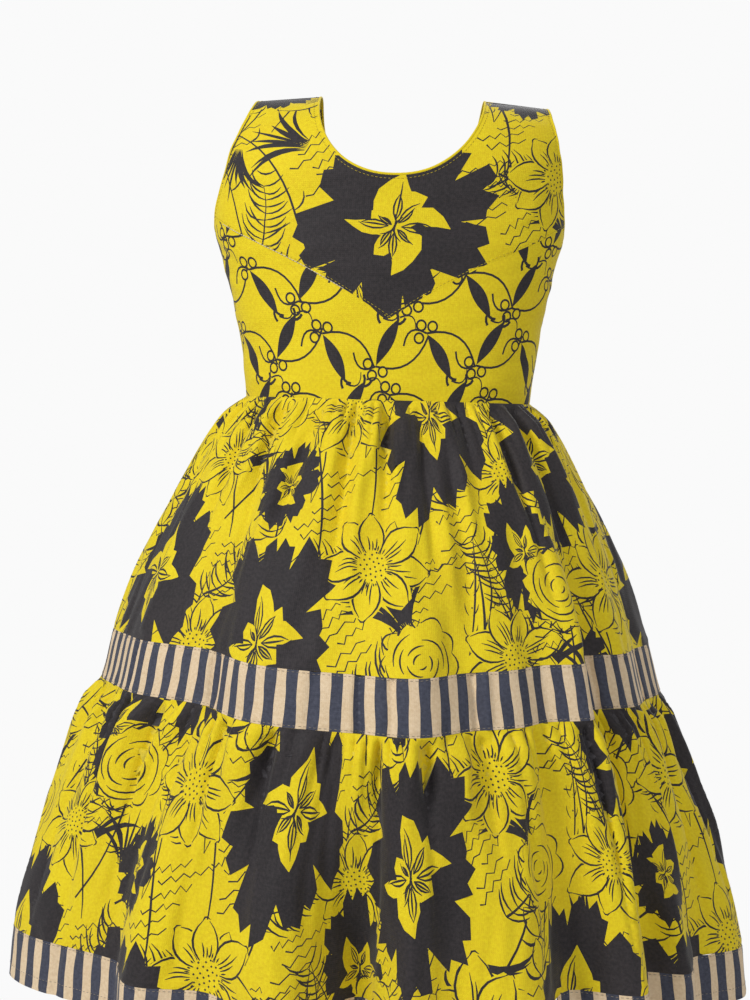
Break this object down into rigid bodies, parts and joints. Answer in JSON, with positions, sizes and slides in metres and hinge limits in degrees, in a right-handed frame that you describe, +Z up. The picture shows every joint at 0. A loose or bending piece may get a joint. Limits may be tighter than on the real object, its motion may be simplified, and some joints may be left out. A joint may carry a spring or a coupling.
{
  "type": "girl's tiered princess dress",
  "caption": "Sleeveless printed cotton dress for a girl: scoop neck, V yoke, fitted bodice, gathered tiers with striped bands, zip at the back.",
  "frame": {"origin": "midway between the shoulders, level with their tops, where the wearer's shoulders hold the dress up", "axes": "+Z up from the hem to the shoulders, the front faces -Y, +X to the right as seen from the front"},
  "size_m": [0.5959, 0.4904, 0.6936],
  "materials": {
    "flower_print": "printed plain-weave cotton, yellow with black flowers",
    "spindle_print": "printed plain-weave cotton, yellow with black spindles",
    "striped_cotton": "plain-weave cotton in navy and cream stripes",
    "zip_tape": "woven tape with a nylon coil",
    "zip_metal": "satin"
  },
  "bodies": {
    "dress": {"front_yoke": "flower_print", "front_bodice": "spindle_print", "back_bodice_left": "flower_print", "back_bodice_right": "flower_print", "upper_tier_front": "flower_print", "upper_tier_back_left": "flower_print", "upper_tier_back_right": "flower_print", "mid_band_front": "striped_cotton", "mid_band_back": "striped_cotton", "lower_tier_front": "flower_print", "lower_tier_back": "flower_print", "hem_band_front": "striped_cotton", "hem_band_back": "striped_cotton", "zip_tape": "zip_tape", "zip_slider": "zip_metal"},
    "zip_pull": {"zip_pull": "zip_metal"}
  },
  "joints": [
    {"name": "zip_pull_swing", "type": "hinge", "parent": "dress", "child": "zip_pull", "pos_m": [-0.001, 0.07886, -0.06871], "axis": [0.9971, 0.007, -0.0757], "range_deg": [0, 160]}
  ]
}
